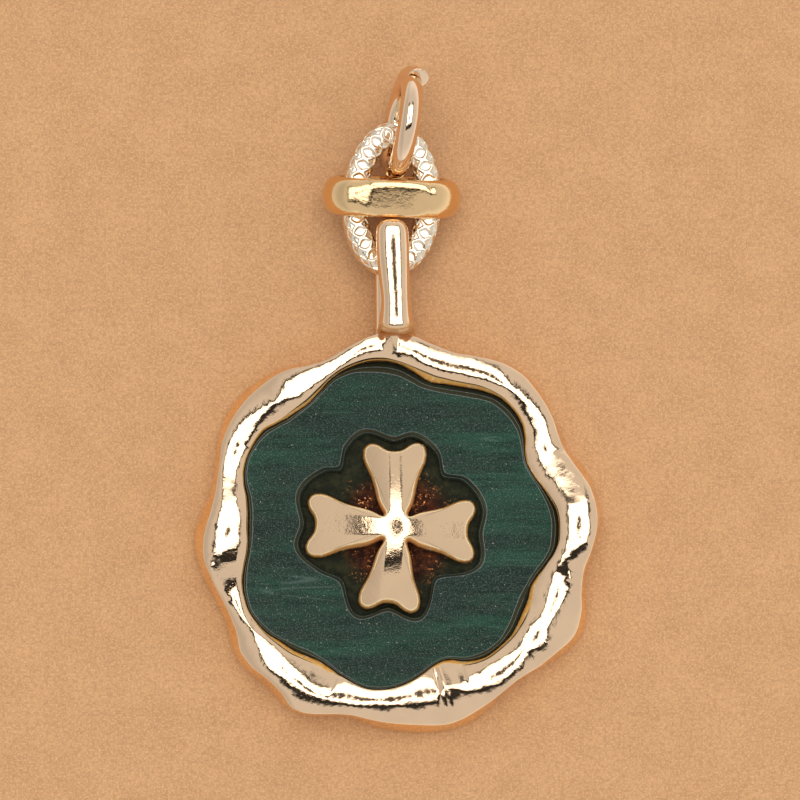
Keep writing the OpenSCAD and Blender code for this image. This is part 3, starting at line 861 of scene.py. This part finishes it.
def bail_rings():
    across, up = squared_circle(full_turn(LOOP_SIDES), LOOP_POWER)
    rings = []
    for out_y, out_z, in_y, in_z, x, width in blend_rows(LOOP, LOOP_CUTS, closed=False):
        y = DISC_Y + (out_y + in_y) / 2 + up * (out_y - in_y) / 2
        z = (out_z + in_z) / 2 + up * (out_z - in_z) / 2
        rings.append(np.stack([x + width / 2 * across, y, z], axis=-1))
    return rings


add_piece("bail_loop", bail_rings(), False, bail_gold, "frame")


# Stone

def stone_rings():
    angles = ring_angles(DISC_STEPS)
    side = seen_at(LIP_TOP, angles, LIP_TOP_Z) - around(LIP_WALL, angles) - STONE_GAP
    face = np.minimum(seen_at(STONE_EDGE, angles, STONE_Z), side - 0.12)
    side_z = np.clip(STONE_Z - (side - face), 1.35, 2.2)
    hole = around(OPENING, angles)
    middle = (side + hole) / 2
    arris_z = STONE_Z - ARRIS * 0.1

    def down(share, more=0.0):
        """Line on the way down the outer bevel."""
        return at(face + (side - face) * share + more, STONE_Z + (side_z - STONE_Z) * share)

    profile = rounded(
        [
            at(middle, SEAT_Z),
            at(side, SEAT_Z),
            at(side, side_z),
            down(0.45, 0.035),
            down(0.45),
            at(face, arris_z),
            at(face - ARRIS, STONE_Z),
            at(middle, STONE_Z),
            at(hole + ARRIS, STONE_Z),
            at(hole, arris_z),
            at(hole - 0.2, 1.98),
            at(hole - 0.25, 1.97),
            at(hole - 0.4, 1.55),
            at(hole - 0.45, SEAT_Z),
        ],
        [0, 0, 0.03, 0.01, 0.01, 0.015, 0.015, 0, 0.015, 0.015, 0.012, 0.012, 0.1, 0],
        steps=3,
    )
    return swung(profile, angles)


add_piece("stone_inlay", stone_rings(), True, green_stone(), "stone")


# Clover

# Slope of the clover's top along each petal: distance from the middle, slope
PETAL_SLOPES = [
    [(0, 0.0), (0.4, 0.03), (0.95, 0.235), (1.7, 0.3), (2.3, 0.345), (3.4, 0.32), (7, 0.27)],
    [(0, 0.0), (0.5, 0.03), (1.1, 0.13), (2.2, 0.222), (3.4, 0.27), (4.7, 0.3), (7, 0.3)],
    [(0, 0.0), (0.5, 0.04), (1.6, 0.2), (3.1, 0.248), (3.8, 0.28), (7, 0.3)],
    [(0, 0.0), (0.5, 0.03), (1.65, 0.12), (3.05, 0.208), (3.4, 0.25), (7, 0.3)],
]
# Slope across each petal: distance from its middle line, slope
ROOF_SLOPES = [(0, 0.0), (0.4, 0.02), (0.62, 0.22), (0.8, 0.27), (3, 0.29)]
# How wide the roof's flat middle is on each petal
ROOF_WIDTHS = (1.1, 0.72, 1.2, 1.05)
# The roof sets in between these distances from the middle
ROOF_FROM, ROOF_TO = 0.8, 1.6
# How far the top's edge is set in from the foot
FLANK_IN = 0.27
PETAL_CUTS = 12


def clover_outline():
    petal = [(along, -half) for along, half in PETAL] + PETAL[:0:-1]
    points = []
    for direction, reach, width in PETALS:
        c, s = unit(direction)
        for along, half in petal:
            off = half * width
            points.append((along * reach * c - off * s, along * reach * s + off * c))
    return blend_rows(points, PETAL_CUTS, closed=True)


def clover_height(x, y):
    """Height of the clover's top: each petal falls along its own curve and is rounded across."""
    r = np.hypot(x, y)
    run = np.linspace(0, 7, 400)
    width = np.linspace(0, 3, 200)
    roof = climb(np.interp(width, *zip(*ROOF_SLOPES)), width)
    shares, falls, across = [], [], []
    for (direction, _, _), slopes, wide in zip(PETALS, PETAL_SLOPES, ROOF_WIDTHS):
        c, s = unit(direction)
        falls.append(np.interp(r, run, climb(np.interp(run, *zip(*slopes)), run)))
        shares.append(np.maximum((x * c + y * s) / np.maximum(r, 1e-6), 0) ** 2)
        across.append(np.interp(np.abs(y * c - x * s) / wide, width, roof) * wide)
    fall = sum(a * b for a, b in zip(shares, falls)) / sum(shares)
    heavy = [a ** 2 for a in shares]
    side_fall = sum(a * b for a, b in zip(heavy, across)) / sum(heavy)
    return CLOVER_TOP_Z - fall - side_fall * smooth_step(r, ROOF_FROM, ROOF_TO)


def inset(outline, distance):
    """Closed outline moved inwards along its normals."""
    along = np.roll(outline, -1, axis=0) - np.roll(outline, 1, axis=0)
    along /= np.linalg.norm(along, axis=1, keepdims=True)
    return outline + distance * np.stack([-along[:, 1], along[:, 0]], axis=-1)


def clover_rings():
    foot = clover_outline()
    edge = inset(foot, FLANK_IN)

    def lifted(outline, z=None):
        """Outline at a height, or else on the clover's top."""
        x, y = outline[:, 0], outline[:, 1]
        height = clover_height(x, y) if z is None else np.full(len(x), z)
        return np.stack([x, y, height], axis=-1)

    sizes = np.concatenate([np.linspace(0.01, 0.9, 40), [0.93, 0.96]])
    top = [lifted(edge * size) for size in sizes]
    arris = lifted(inset(foot, FLANK_IN * 0.66))
    arris[:, 2] -= 0.07
    waist = lifted(inset(foot, FLANK_IN * 0.3))
    waist[:, 2] = PLATE_T + (waist[:, 2] - PLATE_T) * 0.55
    base = [lifted(foot, SEAT_Z), lifted(inset(foot, 0.5), SEAT_Z)]
    side = rounded([top[-1], lifted(edge), arris, waist, *base], [0, 0.05, 0.08, 0.25, 0, 0], steps=6)
    return [ring + (*CLOVER_AT, 0) for ring in top + side[1:]]


add_piece("domed_clover", clover_rings(), False, clover_gold, "clover")


# Link

LINK_CELLS = 24
LINK_ROWS = 6
CELL_CUTS = 20
# Depth of the grooves between the diamonds, and where they lie, as shares of a cell
RELIEF = 0.085
GROOVE_FROM, GROOVE_TO = 0.3, 0.4
# Roll of the link's section against the link, and squareness of the section
SECTION_ROLL = 4
LINK_POWER = 0.62


def link_rings():
    """Rings of the oval link with engraved diamonds, evenly spaced along it."""
    b = (LINK_L - LINK_BAND) / 2

    def half_width(t):
        return (LINK_W - LINK_BAND) / 2 * (1 - LINK_TAPER * np.sin(t))

    t = np.linspace(0, 2 * np.pi, 2001)
    line = np.stack([half_width(t) * np.cos(t), b * np.sin(t)], axis=-1)
    run = np.concatenate([[0], np.cumsum(np.linalg.norm(np.diff(line, axis=0), axis=1))])
    steps, sides = LINK_CELLS * CELL_CUTS, LINK_ROWS * CELL_CUTS
    t = np.interp(np.arange(steps) / steps * run[-1], run, t)
    a = half_width(t)
    out = np.stack([b * np.cos(t), a * np.sin(t)], axis=-1)
    out /= np.linalg.norm(out, axis=1, keepdims=True)
    p = np.arange(steps)[:, None] / CELL_CUTS
    q = np.arange(sides)[None, :] / CELL_CUTS
    near = np.abs(p - np.round(p)) + np.abs(q - np.round(q))
    between = np.abs(p - np.floor(p) - 0.5) + np.abs(q - np.floor(q) - 0.5)
    cut = RELIEF * (1 - smooth_step(np.minimum(near, between), GROOVE_FROM, GROOVE_TO))
    across, up = squared_circle(full_turn(sides), LINK_POWER)
    across, up = (LINK_BAND / 2 - cut) * across, (LINK_T / 2 - cut) * up
    roll = np.radians(-SECTION_ROLL) * out[:, :1]
    c, s = np.cos(roll), np.sin(roll)
    across, up = across * c - up * s, across * s + up * c
    x = (a * np.cos(t))[:, None] + across * out[:, :1]
    y = (b * np.sin(t))[:, None] + across * out[:, 1:]
    return np.stack([x, y, up], axis=-1)


link = placed(link_rings(), LINK_AT, (LINK_PITCH, LINK_ROLL, LINK_TURN))
add_piece("oval_link", link, True, link_gold, "link")


# Collar

COLLAR_STEPS = 64
COLLAR_CUTS = 60
# Twist of the collar's top along it: x, degrees
COLLAR_TWIST = [(-6, -4.4), (-1.95, -4.4), (-1.6, 1.4), (1.1, 1.9), (2.4, 8), (6, 9)]
# Squareness of its section
COLLAR_POWER = 0.34


def collar_rings():
    inner_h = LINK_T / 2 + COLLAR_ROOM
    inner_l = LINK_W / 2 + 0.12
    straight = inner_l - inner_h
    half_w, rise = COLLAR_W / 2, COLLAR_T * 0.75
    corners = np.array([
        (0, half_w - 0.25), (0.12, half_w - 0.08), (COLLAR_T - rise - 0.1, half_w - 0.03),
    ])
    arc = np.radians(np.linspace(84, -84, 40))

    def outline(power):
        up, along = squared_circle(arc, power)
        dome = np.stack([COLLAR_T - rise + rise * up, half_w * along], axis=-1)
        return np.concatenate([corners, dome, corners[::-1] * (1, -1)])

    lower, upper = outline(1.0), outline(COLLAR_POWER)
    path = []
    for side in (1, -1):
        for degrees in np.linspace(-90, 90, COLLAR_STEPS):
            c, s = unit(degrees)
            path.append((side * (straight + inner_h * c), side * inner_h * s, side * c, side * s))
        for share in np.linspace(0, 1, COLLAR_CUTS)[1:-1]:
            path.append((side * straight * (1 - 2 * share), side * inner_h, 0, side))
    rings = []
    for px, pz, nx, nz in path:
        squareness = max(nz, 0) ** 2 * (1 - 0.8 * min(1, abs(px) / straight) ** 3)
        section = lower + (upper - lower) * squareness
        across, up = px + nx * section[:, 0], pz + nz * section[:, 0]
        twist = np.tan(np.radians(np.interp(across, *zip(*COLLAR_TWIST))))
        up = up + twist * section[:, 1] * section[:, 0] / COLLAR_T * max(nz, 0)
        rings.append(np.stack([across, section[:, 1], up], axis=-1))
    return rings


collar = placed(collar_rings(), (0, COLLAR_Y - LINK_AT[1], 0), (COLLAR_TILT, 0, COLLAR_TURN))
collar = placed(collar, LINK_AT, (LINK_PITCH, LINK_ROLL, 0))
add_piece("collar_ring", collar, True, collar_gold, "collar")


# Split ring

RING_STEPS = 220
RING_SIDES = 48
SPLIT_AT = 37
SPLIT = 2.5
# How far the ring's rear end has drifted sideways and outwards
END_SIDE, END_OUT = 0.36, 0.5
# Sizes of the rings that make the wire's ends flat
END_SIZES = (0.8, 0.94)


def wire_rings():
    middle_r = (RING_D - WIRE_D) / 2
    turn = np.linspace(SPLIT_AT + SPLIT / 2, SPLIT_AT - SPLIT / 2 + 360, RING_STEPS)
    share = (turn - turn[0]) / (turn[-1] - turn[0])
    bent = np.clip((share - 0.86) / 0.14, 0, 1) ** 2
    drift = END_SIDE * bent - 0.05 * np.clip((0.1 - share) / 0.1, 0, 1) ** 2
    v = full_turn(RING_SIDES)
    rings = []
    for degrees, bend, aside in zip(turn, bent, drift):
        c, s = unit(degrees)
        radius = middle_r + END_OUT * bend + WIRE_D / 2 * np.cos(v)
        rings.append(np.stack([aside + WIRE_D / 2 * np.sin(v), radius * c, radius * s], axis=-1))
    ends = []
    for end, inward in ((rings[0], rings[1]), (rings[-1], rings[-2])):
        centre = end.mean(axis=0)
        ends.append([centre + (end - centre) * size for size in END_SIZES])
        end += (inward - end) * 0.4
    return ends[0] + rings + ends[1][::-1]


ring_z = (RING_D - WIRE_D) / 2 * math.cos(math.radians(RING_LEAN)) + WIRE_D / 2
split_ring = placed(wire_rings(), (*RING_AT, ring_z), (0, RING_LEAN, -RING_TURN))
add_piece("split_ring", split_ring, False, ring_gold, "jump_ring")


# Card on the table

CARD_HALF = 0.6


def card_material():
    material, tree = new_material("card")
    mottle = ramp(tree, noise(tree, 330, 6, 0.7), 0.3, 0.7)
    base = mix_colours(tree, mottle, (0.655, 0.352, 0.167), (0.75, 0.415, 0.2))
    fibre = noise(tree, 3000, 5, 0.75)
    base = mix_colours(tree, ramp(tree, fibre, 0.42, 0.62, 0, 0.5), base, (0.52, 0.268, 0.122))
    flecks = noise(tree, 7000, 2, 0.6, offset=(5, 1, 0))
    base = mix_colours(tree, ramp(tree, flecks, 0.48, 0.66, 0, 0.6), base, (0.89, 0.55, 0.3))
    return finished(material, {
        "Base Color": base,
        "Roughness": 0.9,
        "Specular IOR Level": 0.15,
        "Normal": bump(tree, fibre, 2e-5),
    })


corners = [(x * CARD_HALF, y * CARD_HALF, 0) for x, y in ((-1, -1), (1, -1), (1, 1), (-1, 1))]
card_mesh = bpy.data.meshes.new("card")
card_mesh.from_pydata(corners, [], [(0, 1, 2, 3)])
card_mesh.materials.append(card_material())
card = bpy.data.objects.new("card", card_mesh)
bpy.context.scene.collection.objects.link(card)


# Studio: a softbox overhead with a dark border, a dark spot where the camera stands, and a pale tent

BOX_LEVEL = 2.6
# Middle of the dark spot, and the distances from it over which it fades, in degrees
SPOT_AT = (2.0, 5.7)
SPOT_FADE = (4.8, 5.6)


def studio():
    world = bpy.data.worlds.new("studio")
    bpy.context.scene.world = world
    world.use_nodes = True
    tree = world.node_tree
    background = tree.nodes["Background"]
    x, y, z = axes(tree, tree.nodes.new("ShaderNodeTexCoord").outputs["Generated"])

    def degrees(value):
        return product(tree, math_node(tree, "ARCTAN2", value, z), 180 / math.pi)

    def rising(value, edge, soft):
        return ramp(tree, value, edge - soft, edge + soft)

    def falling(value, edge, soft):
        return ramp(tree, value, edge - soft, edge + soft, 1, 0)

    along_x, along_y = degrees(x), degrees(y)
    box_x = product(tree, rising(along_x, BOX[0], 0.3), falling(along_x, BOX[1], 0.3))
    box_y = product(tree, rising(along_y, BOX[2], 0.3), falling(along_y, BOX[3], 4))
    box = product(tree, box_x, box_y)
    dip = ramp(tree, math_node(tree, "ABSOLUTE", along_x), 11.8, 13.3, BORDER_DIP, 0)
    border_x = product(tree, rising(along_x, BORDER[0], 0.3), falling(along_x, BORDER[1], 0.3))
    upper = falling(math_node(tree, "ADD", along_y, dip), BORDER[3], 4)
    border = product(tree, product(tree, border_x, rising(along_y, BORDER[2], 0.5)), upper)
    spot = ramp(tree, distance(tree, along_x, along_y, SPOT_AT), *SPOT_FADE, 1, 0)
    tent = product(tree, ramp(tree, z, 0.0, 0.6, 1.0, 0.7), ramp(tree, along_x, -52, -28, 0.76, 1))
    level = product(tree, tent, one_minus(tree, border))
    level = math_node(tree, "ADD", level, product(tree, box, BOX_LEVEL))
    level = math_node(tree, "ADD", level, 0.03)
    level = product(tree, level, one_minus(tree, product(tree, spot, 0.96)))
    colour = mix_colours(tree, ramp(tree, z, -0.05, 0.0), (0.6, 0.36, 0.2), (1, 1, 1))
    tree.links.new(colour, background.inputs["Color"])
    tree.links.new(level, background.inputs["Strength"])


studio()
bpy.context.scene.view_settings.view_transform = "Standard"
